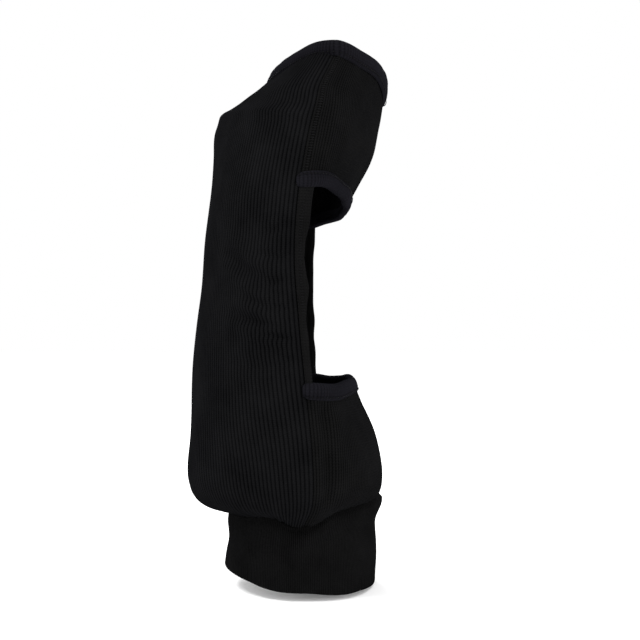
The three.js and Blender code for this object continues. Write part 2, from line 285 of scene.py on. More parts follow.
def mesh_object(name, points, quads, corner_uv, painted_light):
    """A smooth mesh of quads from points in mm, with its uv at each corner and, at each point, how light its
    colour is painted, from painted shade at 0 to painted light at 1.
    """
    mesh = bpy.data.meshes.new(name)
    mesh.vertices.add(len(points))
    mesh.vertices.foreach_set("co", (points * MM).astype(np.float32).ravel())
    mesh.loops.add(quads.size)
    mesh.loops.foreach_set("vertex_index", quads.astype(np.int32).ravel())
    mesh.polygons.add(len(quads))
    mesh.polygons.foreach_set("loop_start", np.arange(0, quads.size, 4, dtype=np.int32))
    mesh.polygons.foreach_set("use_smooth", np.ones(len(quads), bool))
    mesh.uv_layers.new(name="cloth").data.foreach_set("uv", corner_uv.astype(np.float32).ravel())
    layer = mesh.attributes.new("painted_light", "FLOAT", "POINT")
    layer.data.foreach_set("value", np.clip(painted_light, 0, 1).astype(np.float32))
    mesh.update(calc_edges=True)
    mesh.validate()
    obj = bpy.data.objects.new(name, mesh)
    bpy.context.scene.collection.objects.link(obj)
    return obj


def finish_piece(obj, node, material):
    """Give a piece its material, and put it in the place of its node of the frame."""
    obj.data.materials.append(material)
    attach(obj, "root")
    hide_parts(node)


def double_sided(outer, inner):
    """Loops that run over the outer face and back along the inner one."""
    return np.concatenate([outer, inner[:, ::-1]], axis=1)


def uv_grid(across, along):
    """uv pairs at every row and column, from values that spread over both."""
    return np.stack(np.broadcast_arrays(across, along), axis=-1)


# ---------- materials

FIBRE_SCALE, PATCH_SCALE = 1300.0, 38.0  # noise cells in a metre: single fibres, and uneven dye and wear
V_SLANT = 1.1  # how steeply the arms of each V stitch climb, in courses for one rib's width
RELIEF_SHADE, STITCH_SHADE, FIBRE_SHADE, PATCH_SHADE = 0.62, 0.16, 0.55, 0.7  # how much each lightens the cloth: relief and stitch are painted shade in the rib hollows and between the stitch loops, while fibres and patches are tone that varies at random
SHEEN_TINT = (0.8, 0.82, 1.0, 1)
PLY_SCALE, PLY_SLANT = 2.0, 1.6  # plies of a thread, once round it and along each mm of it


class Nodes:
    """Short calls for building one material's node tree."""

    def __init__(self, name):
        self.material = bpy.data.materials.new(name)
        self.material.use_nodes = True
        self.tree = self.material.node_tree
        self.shader = self.tree.nodes["Principled BSDF"]

    def add(self, kind, **settings):
        node = self.tree.nodes.new(kind)
        for key, value in settings.items():
            setattr(node, key, value)
        return node

    def link(self, source, target):
        self.tree.links.new(source, target)

    def set(self, **values):
        """Set inputs of the shader, named with _ for each space."""
        for key, value in values.items():
            self.shader.inputs[key.replace("_", " ")].default_value = value

    def math(self, operation, first, second=None, third=None):
        node = self.add("ShaderNodeMath", operation=operation)
        for socket, value in zip(node.inputs, (first, second, third)):
            if isinstance(value, (int, float)):
                socket.default_value = value
            elif value is not None:
                self.link(value, socket)
        return node.outputs[0]

    def noise(self, scale, detail=2.0, roughness=0.5):
        """Noise that runs through the object, so that it needs no uv."""
        node = self.add("ShaderNodeTexNoise")
        node.inputs["Scale"].default_value = scale
        node.inputs["Detail"].default_value = detail
        node.inputs["Roughness"].default_value = roughness
        place = self.add("ShaderNodeTexCoord")
        self.link(place.outputs["Object"], node.inputs["Vector"])
        return node.outputs["Fac"]

    def cloth_uv(self):
        """The two coordinates of the cloth's own uv map."""
        cloth = self.add("ShaderNodeUVMap", uv_map="cloth")
        split = self.add("ShaderNodeSeparateXYZ")
        self.link(cloth.outputs["UV"], split.inputs[0])
        return split.outputs[0], split.outputs[1]

    def colour(self, dark, light, shade):
        """Colour the shader from dark to light as the shade goes from 0 to 1."""
        mix = self.add("ShaderNodeMix", data_type="RGBA", clamp_factor=True)
        mix.inputs["A"].default_value = (*dark, 1)
        mix.inputs["B"].default_value = (*light, 1)
        self.link(shade, mix.inputs["Factor"])
        self.link(mix.outputs["Result"], self.shader.inputs["Base Color"])

    def roughness(self, source, spread, least):
        self.link(self.math("MULTIPLY_ADD", source, spread, least), self.shader.inputs["Roughness"])

    def bump(self, height, strength, distance, normal=None):
        """A normal raised by the height, `distance` mm high at full strength, on top of another normal."""
        node = self.add("ShaderNodeBump")
        node.inputs["Strength"].default_value = strength
        node.inputs["Distance"].default_value = distance * 0.001
        self.link(height, node.inputs["Height"])
        if normal is not None:
            self.link(normal, node.inputs["Normal"])
        return node.outputs["Normal"]


def knit_material(name, dark, light, course, loop_depth, fuzz, sheen):
    """Knitted cloth. uv x counts ribs and uv y is mm along them. The stitches are rows of small V shapes
    `course` mm apart and loop_depth mm deep, under fibres that stand out by fuzz mm. `dark` is the colour
    of the painted shade in hollows and `light` the colour of the painted light on crests."""
    n = Nodes(name)
    rib_count, along = n.cloth_uv()
    from_crest = n.math("ABSOLUTE", n.math("SUBTRACT", n.math("FRACT", rib_count), 0.5))
    phase = n.math("ADD", n.math("DIVIDE", along, course), n.math("MULTIPLY", from_crest, V_SLANT))
    stitch = n.math("MULTIPLY_ADD", n.math("SINE", n.math("MULTIPLY", phase, 2 * math.pi)), 0.5, 0.5)
    fibres = n.noise(FIBRE_SCALE, 2.0, 0.6)
    patches = n.noise(PATCH_SCALE, 3.0, 0.6)
    painted_light = n.add("ShaderNodeAttribute", attribute_name="painted_light").outputs["Fac"]

    # Painted shade: the colour darkens in the hollows between ribs and between stitch loops and lightens on
    # crests, while fibres and patches add tone that varies at random.
    shade = n.math("MULTIPLY", painted_light, RELIEF_SHADE)
    shade = n.math("ADD", shade, n.math("MULTIPLY", stitch, STITCH_SHADE))
    for source, strength in ((fibres, FIBRE_SHADE), (patches, PATCH_SHADE)):
        shade = n.math("ADD", shade, n.math("MULTIPLY", n.math("SUBTRACT", source, 0.5), strength))
    n.colour(dark, light, shade)
    n.roughness(fibres, 0.16, 0.82)
    n.set(Specular_IOR_Level=0.0, Sheen_Weight=sheen, Sheen_Roughness=0.45, Sheen_Tint=SHEEN_TINT)

    loops = n.bump(stitch, 0.8, loop_depth)
    n.link(n.bump(fibres, 0.35, fuzz, loops), n.shader.inputs["Normal"])
    return n.material


def thread_material():
    """Spun sewing thread: fine diagonal plies round each stitch."""
    n = Nodes("sewing_thread")
    around_thread, along = n.cloth_uv()
    twist = n.math("ADD", n.math("MULTIPLY", around_thread, PLY_SCALE), n.math("MULTIPLY", along, PLY_SLANT))
    ply = n.math("ABSOLUTE", n.math("SINE", n.math("MULTIPLY", twist, math.pi)))
    fibres = n.noise(3000.0)
    # Painted shade in the grooves between the plies, lighter on each ply, with fibres that vary the tone at
    # random.
    shade = n.math("ADD", n.math("MULTIPLY", ply, 0.6), n.math("MULTIPLY", fibres, 0.4))
    n.colour((0.0012, 0.0012, 0.0013), (0.0062, 0.0060, 0.0066), shade)
    n.roughness(fibres, 0.2, 0.55)
    n.set(Specular_IOR_Level=0.05)
    n.link(n.bump(ply, 1.0, 0.1), n.shader.inputs["Normal"])
    return n.material


def elastic_material():
    """Woven elastic: fine cords along it, crossed by the weft. It is hidden inside the bindings."""
    n = Nodes("woven_elastic")
    place = n.add("ShaderNodeTexCoord")
    threads = []
    for direction, scale in (("Y", 0.5), ("X", 0.6)):
        wave = n.add("ShaderNodeTexWave", bands_direction=direction)
        wave.inputs["Scale"].default_value = scale
        n.link(place.outputs["UV"], wave.inputs["Vector"])
        threads.append(wave.outputs["Fac"])
    weave = n.math("MULTIPLY", *threads)
    # The weave is painted: lighter where cords and weft cross on top, with painted shade between them.
    n.colour((0.003, 0.003, 0.0033), (0.010, 0.010, 0.011), weave)
    n.roughness(weave, 0.2, 0.6)
    return n.material


RIB_KNIT = knit_material(
    "rib_knit",
    dark=(0.0007, 0.0007, 0.0008),
    light=(0.0075, 0.0075, 0.0080),
    course=1.25,
    loop_depth=0.16,
    fuzz=0.10,
    sheen=0.005,
)
SMOOTH_KNIT = knit_material(
    "smooth_knit",
    dark=(0.0011, 0.0011, 0.0011),
    light=(0.0072, 0.0071, 0.0072),
    course=1.7,
    loop_depth=0.26,
    fuzz=0.12,
    sheen=0.005,
)
BINDING_KNIT = knit_material(
    "binding_knit",
    dark=(0.0022, 0.0021, 0.0026),
    light=(0.0088, 0.0085, 0.0108),
    course=0.9,
    loop_depth=0.10,
    fuzz=0.14,
    sheen=0.008,
)
CUFF_KNIT = knit_material(
    "cuff_rib",
    dark=(0.0009, 0.0009, 0.0009),
    light=(0.0075, 0.0074, 0.0075),
    course=0.9,
    loop_depth=0.14,
    fuzz=0.12,
    sheen=0.005,
)
THREAD = thread_material()
ELASTIC = elastic_material()

# ---------- body panels

RIB_PITCH = 2.7  # mm across one rib of the back panel where it is widest
FINE_PITCH = 2.0  # the same on the forehead and chin panels
RIB_COLUMNS = 6  # mesh columns for each rib
BACK_RIB_DEPTH, FRONT_RIB_DEPTH = 0.45, 0.17
INNER_RELIEF = 0.6  # how deep the ribs are inside, as a share of their depth outside
INNER_SHADE = 0.7  # the same for how light their crests are painted, which puts painted shade on the inner face
NECK_ALLOWANCE = 1.8  # how far the cloth turns in beyond the neck seam
SEAM_HOLD = 4.0  # how near a side seam the folds die away
SEAM_GROOVE, SEAM_REACH = 1.5, 2.4  # how deep the cloth sinks along a side seam, and how far from it

BACK_WIDTH = 277.0  # mm of cloth from seam to seam, where the back panel is widest
FRONT_WIDTH = 232.0  # the same across the brow
BACK_NECK, BACK_CROWN = -150.0, 150.0  # about how high the back's two sewn edges are

# Folds of the back panel beside each side seam: mm from the seam and height, then the angle, half length,
# width and depth. The wearer's right side is the more creased one.
RIGHT_FOLDS = (
    ((13, -31), 11, 12, 2.0, 2.6),
    ((30, -21), 15, 22, 3.2, 2.4),
    ((24, -11), 30, 15, 2.3, 1.7),
    ((40, 13), 34, 25, 4.4, 2.4),
    ((22, 6), 26, 14, 2.6, 1.2),
    ((9, -14), 20, 8, 1.7, 1.6),
    ((11, 2), -16, 9, 2.0, 1.2),
    ((15, 17), 14, 10, 2.2, 1.2),
    ((12, 33), -12, 10, 2.4, 0.9),
    ((8, -46), -14, 9, 2.4, 1.0),
    ((30, -48), 10, 18, 4.0, 0.8),
)
LEFT_FOLDS = (
    ((14, -24), 8, 13, 2.2, 2.0),
    ((30, -8), 22, 16, 3.2, 1.6),
    ((12, 12), -16, 9, 2.2, 1.2),
    ((38, 22), 30, 20, 4.4, 1.6),
    ((26, -36), 12, 18, 3.4, 1.2),
)
CREASE_AT_SEAM, CREASE_RISE = 99.0, 22.0  # the fold below the crown: its height at a seam, and its climb
CREASE_RIDGE, CREASE_HOLLOW = 1.7, 1.1  # how far it stands out, and how far the cloth just above it sinks
BESIDE_SEAM = 10.0  # mm from a side seam to the hollow that runs beside it in front


def body_panel(node, start, end, low, high, ribs, spacing, shape):
    """A panel of body cloth from turn start to turn end and from ring low to ring high, with mesh rows
    `spacing` mm apart. shape(share, z, length, count) gives the cloth's lift in mm, its rib relief and its
    rib depth at shares of the panel's width, for the height, the row's length and the ribs passed."""
    rings = even_rings(low, high, (start + end) / 2, spacing)
    columns = ribs * RIB_COLUMNS + 1
    turns, lengths = even_turns(rings, start, end, columns)
    base = body_point(turns, rings[:, None])
    _, up, out = body_axes(turns, rings[:, None])
    if low == NECK:
        turned_in = NECK_ALLOWANCE * (0.6 * out[:1] + up[:1])
        base = np.vstack([base[:1] - turned_in, base])
        out, lengths = (np.concatenate([v[:1], v]) for v in (out, lengths))
    share = np.linspace(0, 1, columns)[None, :]
    lift, rib, depth = shape(share, base[..., 2], lengths[:, None], share * ribs)
    outer = base + out * (KNIT / 2 + lift + depth * (rib - 1))[..., None]
    inner = base + out * (-KNIT / 2 + lift + INNER_RELIEF * depth * rib)[..., None]
    uv = uv_grid(share * ribs, walked_along(base[:, columns // 2])[:, None])
    # Painted shade: each rib's hollow is painted darker, and the inner face darker still.
    painted_light = np.broadcast_to(rib, lift.shape)
    return lattice(
        f"{node}_cloth",
        double_sided(outer, inner),
        double_sided(uv, uv),
        double_sided(painted_light, INNER_SHADE * painted_light),
    )


def sewn(share, length, lift):
    """The lift of the cloth once both ends of its width are sewn: it dies away and sinks into the seams."""
    from_start, from_end = share * length, (1 - share) * length
    held = near(from_start, SEAM_HOLD) + near(from_end, SEAM_HOLD)
    groove = near(from_start, SEAM_REACH) + near(from_end, SEAM_REACH)
    return lift * (1 - held) - SEAM_GROOVE * groove


def back_shape(share, z, length, count):
    """Slow waves, the folds beside the seams, the crease below the crown, and gathers at both sewn edges."""
    from_right, from_left = share * BACK_WIDTH, (1 - share) * BACK_WIDTH
    slow = waves(3, from_right, z, 95.0, 0.9) * smooth((z - BACK_NECK - 2) / 25)
    lift = slow + waves(4, from_right, z, 34.0, 0.25)
    for from_seam, folds in ((from_right, RIGHT_FOLDS), (from_left, LEFT_FOLDS)):
        for fold in folds:
            lift = lift + crease(from_seam, z, *fold)
    round_back = np.clip(2 * np.minimum(share, 1 - share), 0, 1)
    above = z - CREASE_AT_SEAM - CREASE_RISE * round_back**0.8
    lift = lift + CREASE_RIDGE * near(above, 3.4) - CREASE_HOLLOW * near(above - 9, 5.0)
    at_edges = near(BACK_CROWN - z, 12) + near(z - BACK_NECK, 11)
    lift = lift + 0.3 * gathers(count, 3.1, 4.7, 0.6, 1) * at_edges
    return sewn(share, length, lift), rib_wave(count), BACK_RIB_DEPTH


def make_back_panel():
    """The wide rib knit panel round the back of the head."""
    ribs = round(BACK_WIDTH / RIB_PITCH)
    obj = body_panel("back_panel", RIGHT, 360 + LEFT, NECK, CROWN - 0.2, ribs, 1.9, back_shape)
    finish_piece(obj, "back_panel", RIB_KNIT)


def front_shape(seed, low_edge, high_edge, recess):
    """The shape of the forehead or chin cloth between two heights: a hollow beside each seam, and light
    puckers along its bound edge and its gathered one."""

    def shape(share, z, length, count):
        x = share * FRONT_WIDTH
        lift = waves(seed, x, z, 70.0, 0.6) + waves(seed + 1, x, z, 26.0, 0.16)
        beside = near(share * length - BESIDE_SEAM, 4.5) + near((1 - share) * length - BESIDE_SEAM, 4.5)
        lift = lift - recess * beside * smooth((high_edge - z) / 14) * smooth((z - low_edge) / 10)
        at_edges = near(z - low_edge, 9) + near(z - high_edge, 9)
        lift = lift + 0.22 * gathers(count, 4.3, 6.9, 0.7, 2) * at_edges
        return sewn(share, length, lift), rib_wave(count), FRONT_RIB_DEPTH

    return shape


def make_front_panels():
    """The finer knit panels above and below the face opening."""
    ribs = round(FRONT_WIDTH / FINE_PITCH)
    forehead_shape = front_shape(21, low_edge=62, high_edge=146, recess=1.3)
    forehead = body_panel(
        "forehead_panel", LEFT, RIGHT, BROW + 0.1, CROWN - 0.2, ribs, 1.5, forehead_shape
    )
    finish_piece(forehead, "forehead_panel", SMOOTH_KNIT)
    chin_shape = front_shape(31, low_edge=-140, high_edge=-64, recess=3.4)
    chin = body_panel("chin_panel", LEFT, RIGHT, NECK, CHIN - 0.1, ribs, 1.5, chin_shape)
    finish_piece(chin, "chin_panel", SMOOTH_KNIT)


# ---------- stitches

STITCH_RINGS = 7  # rings of points along one stitch
STITCH_SIDES = 6  # points round each ring, which two quads can close at an end


def stitch_faces():
    """The quads of one stitch: its side, and two quads over each end."""
    sides, last = STITCH_SIDES, (STITCH_RINGS - 1) * STITCH_SIDES
    faces = []
    for low in range(0, last, sides):
        high = low + sides
        for place in range(sides):
            following = (place + 1) % sides
            faces.append([low + place, low + following, high + following, high + place])
    first_end = [[3, 2, 1, 0], [5, 4, 3, 0]]
    last_end = [[last + point for point in reversed(quad)] for quad in first_end]
    return np.array(faces + first_end + last_end)


def stitches(name, middle, run, out, length, radius, node):
    """Separate stitches: each is a short thread that dips into the cloth at both ends."""
    t = np.linspace(-1, 1, STITCH_RINGS)
    along = t * length / 2
    rise = radius * (1 - 1.6 * t**4)
    girth = radius * np.sqrt(np.clip(1.04 - t**4, 0.05, 1))
    angle = np.linspace(0, 2 * math.pi, STITCH_SIDES, endpoint=False)
    side = unit(np.cross(out, run))
    threads = (
        middle[:, None, None]
        + out[:, None, None] * (rise[:, None] + girth[:, None] * np.cos(angle))[None, :, :, None]
        + side[:, None, None] * (girth[:, None] * np.sin(angle))[None, :, :, None]
        + run[:, None, None] * (along[:, None] + 0 * angle)[None, :, :, None]
    )
    count = len(middle)
    points = threads.reshape(-1, 3)
    first_point = np.arange(count) * STITCH_RINGS * STITCH_SIDES
    faces = (stitch_faces()[:, None] + first_point[None, :, None]).reshape(-1, 4)
    u = np.tile(np.arange(STITCH_SIDES) / STITCH_SIDES, count * STITCH_RINGS)
    v = np.tile(np.repeat(along, STITCH_SIDES), count)
    corner_uv = np.stack([u, v], axis=1)[faces]
    a, b, c = (points[faces[:, i]] for i in range(3))
    centre = threads.reshape(count, -1, 3).mean(axis=1)[faces[:, 0] // (STITCH_RINGS * STITCH_SIDES)]
    facing = np.einsum("ij,ij->i", np.cross(b - a, c - b), a - centre)
    if np.median(facing) < 0:
        faces, corner_uv = faces[:, ::-1], corner_uv[:, ::-1]
    obj = mesh_object(name, points, faces, corner_uv.reshape(-1, 2), np.ones(len(points)))
    finish_piece(obj, node, THREAD)


# ---------- bindings

BINDING_HEIGHT = 9.0
BINDING_HALF = 3.2  # half the thickness of a plump binding
BINDING_CLOTH = 1.1  # thickness of the strip
BINDING_RIB = 1.9  # mm along a binding for each of the ribs across it
BINDING_MIDDLE = -BINDING_HEIGHT / 2  # up from its fold
ROWS_PER_RIB = 5
SECTION_POINTS = 22
SECTION_SWEEP = 1.9 * math.pi  # how far the section goes round, from one cut edge to the other
SQUARENESS = 0.72  # 1 is an oval section, and less is squarer
SECTION_STEP = 0.9  # mm of cloth between two points of the section, for its uv
END_LENGTH, END_GIRTH = 6.0, 0.3  # an open end narrows over this many mm, to this share
STITCH_INSET = 1.7  # from a cut edge to the topstitch
TOPSTITCH_PITCH, TOPSTITCH_LENGTH, TOPSTITCH_RADIUS = 2.6, 1.9, 0.24
TOPSTITCH_SINK = 0.55  # how deep the topstitch is pulled into the plump binding
ELASTIC_HALF = 0.7  # half the elastic's thickness
ELASTIC_TOP, ELASTIC_BOTTOM = -2.0, -5.4  # its edges, up from the binding's fold
ELASTIC_AROUND = np.array([0, 1.7, 3.4, 4.8, 6.5, 8.2])  # mm round its section, for its uv

BINDINGS = {
    "crown": dict(
        ring=CROWN, start=-180.0, end=180.0, upright=1, seed=81,
        slump=-0.8, crest=2.2, girth=1.25, tall=1.2, stand=0.6, droop=5.0,
    ),
    "brow": dict(
        ring=BROW, start=LEFT - 2.0, end=RIGHT + 2.0, upright=-1, seed=91,
        slump=2.6, crest=0.0, girth=1.15, tall=1.1, stand=0.0, droop=0.0,
    ),
    "chin": dict(
        ring=CHIN, start=LEFT - 1.5, end=RIGHT + 1.5, upright=1, seed=101,
        slump=-2.2, crest=0.0, girth=1.2, tall=1.18, stand=0.0, droop=0.0,
    ),
}


class BindingRun:
    """How one binding runs round its ring, with a value or a direction for each row of its mesh.

    upright is 1 where its fold is the top edge and -1 where it is the lower one. slump and crest are how
    far it moves up over each cheek and behind each seam, girth and tall scale its thickness and height,
    stand turns it from the cloth's slope to vertical, and droop is how much further it reaches down in
    front."""

    def __init__(self, ring, start, end, upright, seed, slump, crest, girth, tall, stand, droop):
        self.closed = end - start >= 360
        self.upright = upright
        self.tall = tall
        self.length = even_turns([ring], start, end, 3)[1][0]
        ribs = int(self.length / BINDING_RIB)
        self.rows = ribs * ROWS_PER_RIB + (0 if self.closed else 1)
        turns = even_turns([ring], start, end, ribs * ROWS_PER_RIB + 1)[0][0][: self.rows]
        walked = np.arange(self.rows) / ROWS_PER_RIB * (self.length / ribs)
        self.lean = waves(seed, walked, 0, 38.0, 0.35)
        swell = 1 + waves(seed + 1, walked, 0, 16.0, 0.04)
        self.girth = girth * swell * (1 - 0.2 * near(turns, 40))
        cheeks, behind_seams = near(np.abs(turns) - 58, 20), near(np.abs(turns) - 112, 18)
        self.rise = slump * cheeks + crest * behind_seams + waves(seed + 2, walked, 0, 45.0, 0.3)
        self.reach = tall + droop / BINDING_HEIGHT * near(turns, 20)
        self.taper = np.ones(self.rows)
        if not self.closed:
            to_end = np.clip(1 - np.minimum(walked, self.length - walked) / END_LENGTH, 0, 1)
            self.taper = END_GIRTH + (1 - END_GIRTH) * np.sqrt(1 - to_end**2)
        rings = ring_beyond(turns, float(ring), upright * BINDING_MIDDLE)
        self.centre = body_point(turns, rings)
        self.along, up, _ = body_axes(turns, rings)
        self.up = unit(up * (1 - stand) + np.array([0, 0, 1.0]) * stand)
        self.out = unit(np.cross(self.up, self.along))

    def place(self, out_mm, up_mm):
        """Points this far out from the middle of the binding and up from it, in every row."""
        out_mm = (out_mm + self.lean[:, None])[..., None]
        up_mm = (self.upright * up_mm + self.rise[:, None])[..., None]
        return self.centre[:, None] + self.out[:, None] * out_mm + self.up[:, None] * up_mm

    def uv(self, across):
        """uv that counts ribs along the binding. A closed one needs a last row more than its mesh has."""
        rows = self.rows + 1 if self.closed else self.rows
        return uv_grid((np.arange(rows) / ROWS_PER_RIB)[:, None], across)


def binding_section():
    """The folded strip's section: how far out and up each point is, in mm, and 1 where it is outer face.
    The loop runs from the outer cut edge over the fold to the inner one, and back along the cloth's hidden
    side."""
    angle = np.linspace(-0.5, 0.5, SECTION_POINTS) * SECTION_SWEEP + math.pi / 2
    c, s = np.cos(angle), np.sin(angle)
    out = BINDING_HALF * np.sign(c) * np.abs(c) ** SQUARENESS
    up = BINDING_HEIGHT / 2 * (np.sign(s) * np.abs(s) ** SQUARENESS - 1)
    inner_out = out * (1 - BINDING_CLOTH / BINDING_HALF)
    inner_up = np.clip(up, -BINDING_HEIGHT, -BINDING_CLOTH)
    face = np.concatenate([np.ones(SECTION_POINTS), np.zeros(SECTION_POINTS)])
    return np.concatenate([out[::-1], inner_out]), np.concatenate([up[::-1], inner_up]), face


def make_binding_cloth(name, run):
    """The folded strip, pinched along its row of stitches."""
    out_mm, up_mm, face = binding_section()
    rib = rib_wave(np.arange(run.rows) / ROWS_PER_RIB)[:, None]
    pinch = face * near(up_mm + BINDING_HEIGHT - STITCH_INSET, 1.0) * np.sign(out_mm)
    rib_face = face * np.clip(np.abs(out_mm) / BINDING_HALF, 0.3, 1) * np.sign(out_mm)
    thick = out_mm * (run.girth * run.taper)[:, None] + 0.15 * rib_face * (rib - 0.5) - 0.4 * pinch
    height = (up_mm * run.reach[:, None] - BINDING_MIDDLE) * run.taper[:, None]
    # Painted shade in the rib hollows and along the pinched stitch line.
    painted_light = 0.25 + 0.75 * rib - 0.3 * np.abs(pinch)
    strip = SECTION_STEP * np.arange(1, len(out_mm) + 1)
    obj = lattice(f"{name}_binding_cloth", run.place(thick, height), run.uv(strip), painted_light, run.closed)
    finish_piece(obj, f"{name}_binding", BINDING_KNIT)


def make_binding_elastic(name, run):
    """The flat elastic inside the fold."""
    half, high, low = ELASTIC_HALF, ELASTIC_TOP * run.tall, ELASTIC_BOTTOM * run.tall
    out_mm = np.array([half, half, half, -half, -half, -half])
    up_mm = np.array([low, (low + high) / 2, high, high, (low + high) / 2, low])
    taper = run.taper[:, None]
    band = run.place(out_mm * taper, (up_mm - BINDING_MIDDLE) * taper)
    painted_light = np.full(band.shape[:2], 0.5)
    obj = lattice(f"{name}_elastic_tape", band, run.uv(ELASTIC_AROUND), painted_light, run.closed)
    finish_piece(obj, f"{name}_elastic", ELASTIC)


def make_binding_topstitch(name, run):
    """The row of stitches that closes the binding."""
    places = (np.arange(int(run.length / TOPSTITCH_PITCH)) + 0.5) * TOPSTITCH_PITCH
    row = np.round(places / run.length * (run.rows - 2)).astype(int)
    face_out = (BINDING_HALF - TOPSTITCH_SINK) * run.girth * run.taper
    edge_up = (STITCH_INSET - BINDING_HEIGHT * run.reach - BINDING_MIDDLE) * run.taper
    seat = run.place(face_out[:, None], edge_up[:, None])[row, 0]
    stitches(
        f"{name}_topstitch_rows", seat, run.along[row], run.out[row],
        TOPSTITCH_LENGTH, TOPSTITCH_RADIUS, f"{name}_topstitch",
    )


def make_bindings():
    """All three bindings, each with its elastic and its stitches."""
    for name, settings in BINDINGS.items():
        run = BindingRun(**settings)
        make_binding_cloth(name, run)
        make_binding_elastic(name, run)
        make_binding_topstitch(name, run)


# ---------- face bands

# How wide each face band shows, in mm, at heights in mm. The wearer's right one curls in below the eye.
BAND_WIDTHS = {
    "right": {-58: 4.2, -40: 4.2, -22: 4.6, -10: 5.6, -1: 8.0, 8: 7.0, 16: 5.6, 26: 6.4, 36: 8.8, 58: 9.4},
    "left": {-58: 6.0, -30: 7.4, 0: 10.2, 25: 11.0, 45: 10.4, 58: 9.0},
}
BAND_SEEDS = {"right": 50, "left": 60}
BAND_RIB = 1.9
BAND_CLOTH = 0.95  # thickness of the folded strip's cloth
BAND_HALF = 1.25  # half the thickness of the folded strip
BAND_COLUMNS = 16
BAND_ROLL, BAND_DIP = 1.1, 0.9  # how far the free edge rolls out, and the sewn one sinks in
LADDER_PITCH, LADDER_LENGTH, LADDER_RADIUS = 1.6, 2.8, 0.3  # the short stitches beside each seam
LADDER_FROM_SEAM = 3.0
LADDER_ON_BAND, LADDER_ON_PANEL = 1.12, 0.72  # how far out of the body surface they lie


def make_face_band(side, seam):
    """A folded strip with ribs across it, from the seam to a soft rolled free edge."""
    to_front = -1 if seam > 0 else 1
    seed = BAND_SEEDS[side]
    rings = even_rings(CHIN - 0.05, BROW + 0.08, seam, BAND_RIB / ROWS_PER_RIB)
    heights = body_point(seam, rings)[:, 2]
    widths = np.interp(heights, list(BAND_WIDTHS[side]), list(BAND_WIDTHS[side].values()))
    widths = (widths + waves(seed, heights, 0, 22.0, 0.3))[:, None]
    share = np.linspace(0, 1, BAND_COLUMNS)
    turns = turn_beyond(seam, rings[:, None], to_front * widths * share)
    base = body_point(turns, rings[:, None])
    out = body_axes(turns, rings[:, None])[2]
    rib_count = (np.arange(len(rings)) / ROWS_PER_RIB)[:, None]
    rib = rib_wave(rib_count) + 0 * share
    roll = BAND_ROLL * near((1 - share) * widths, 2.0)
    wave = waves(seed + 2, heights[:, None], 9 * share, 24.0, 0.3) * share
    middle = wave + 0.8 * roll - BAND_DIP * near(share * widths, 1.6)
    thick = BAND_HALF * np.sqrt(np.clip(1.02 - share**6, 0, 1))
    hollow = np.clip(thick - BAND_CLOTH, 0.1, None)
    outer = base + out * (middle + 0.2 * roll + thick + 0.12 * (rib - 0.5))[..., None]
    inner = base + out * (middle - thick)[..., None]
    hidden = []
    for offset in (-hollow, hollow):
        layer = base + out * (middle + offset)[..., None]
        layer[:, -1] = layer[:, -2] + 0.3 * (base[:, -1] - base[:, -2])
        hidden.append(layer)
    uv = uv_grid(rib_count, share * widths)
    # Painted light and shade: the outer face is painted lighter than the body cloth, the inner face darker,
    # and the hidden layers in full painted shade.
    band_painted_light = double_sided(0.7 + 0.3 * rib, 0.5 + 0.3 * rib)
    obj = lattice(
        f"{side}_face_band_cloth",
        np.concatenate([double_sided(outer, inner), double_sided(*hidden)], axis=1),
        np.concatenate([double_sided(uv, uv)] * 2, axis=1),
        np.concatenate([band_painted_light, 0 * band_painted_light], axis=1),
    )
    finish_piece(obj, f"{side}_face_band", SMOOTH_KNIT)
    make_band_stitches(side, seam, to_front)


def make_band_stitches(side, seam, to_front):
    """A ladder of short cross stitches beside the seam."""
    beside_band = even_rings(CHIN + 0.15, BROW - 0.2, seam, LADDER_PITCH)
    beside_forehead = even_rings(BROW + 0.35, CROWN - 0.6, seam, LADDER_PITCH)
    rings = np.concatenate([beside_band, beside_forehead])
    turns = turn_beyond(seam, rings, to_front * LADDER_FROM_SEAM)
    along, _, out = body_axes(turns, rings)
    raised = np.where(rings < BROW, LADDER_ON_BAND, LADDER_ON_PANEL)
    middle = body_point(turns, rings) + out * raised[:, None]
    stitches(
        f"{side}_band_topstitch_rows", middle, along, out,
        LADDER_LENGTH, LADDER_RADIUS, f"{side}_band_topstitch",
    )


# ---------- seam allowances

OVERLOCK_WIDTH = 5.5
OVERLOCK_START = 0.4  # from the seam to the strip's sewn edge
OVERLOCK_ROW = 0.7  # mm between mesh rows
OVERLOCK_LOOP_ROWS = 3  # mesh rows for each thread loop
OVERLOCK_COLUMNS = 7


def make_seam_overlock(side, seam):
    """The overcast cut edges behind a side seam: a soft strip with thread loops over its edge."""
    to_back = 1 if seam > 0 else -1
    rings = even_rings(NECK + 0.4, CROWN - 0.5, seam, OVERLOCK_ROW)
    share = np.linspace(0, 1, OVERLOCK_COLUMNS)
    distance = to_back * (OVERLOCK_START + OVERLOCK_WIDTH * share)
    turns = turn_beyond(seam, rings[:, None], distance)
    base = body_point(turns, rings[:, None])
    out = body_axes(turns, rings[:, None])[2]
    loop_count = (np.arange(len(rings)) / OVERLOCK_LOOP_ROWS)[:, None]
    loop = rib_wave(loop_count) + 0 * share
    lie = -KNIT / 2 - 0.35 - 0.9 * share * (1 - share)
    outer = base + out * lie[:, None]
    inner = base + out * (lie - 0.8 - 0.45 * loop)[..., None]
    uv = uv_grid(loop_count, share * OVERLOCK_WIDTH)
    obj = lattice(
        f"{side}_seam_overlock_loops",
        double_sided(outer, inner),
        double_sided(uv, uv),
        double_sided(loop, loop),
    )
    finish_piece(obj, f"{side}_seam_overlock", THREAD)


# ---------- cuff

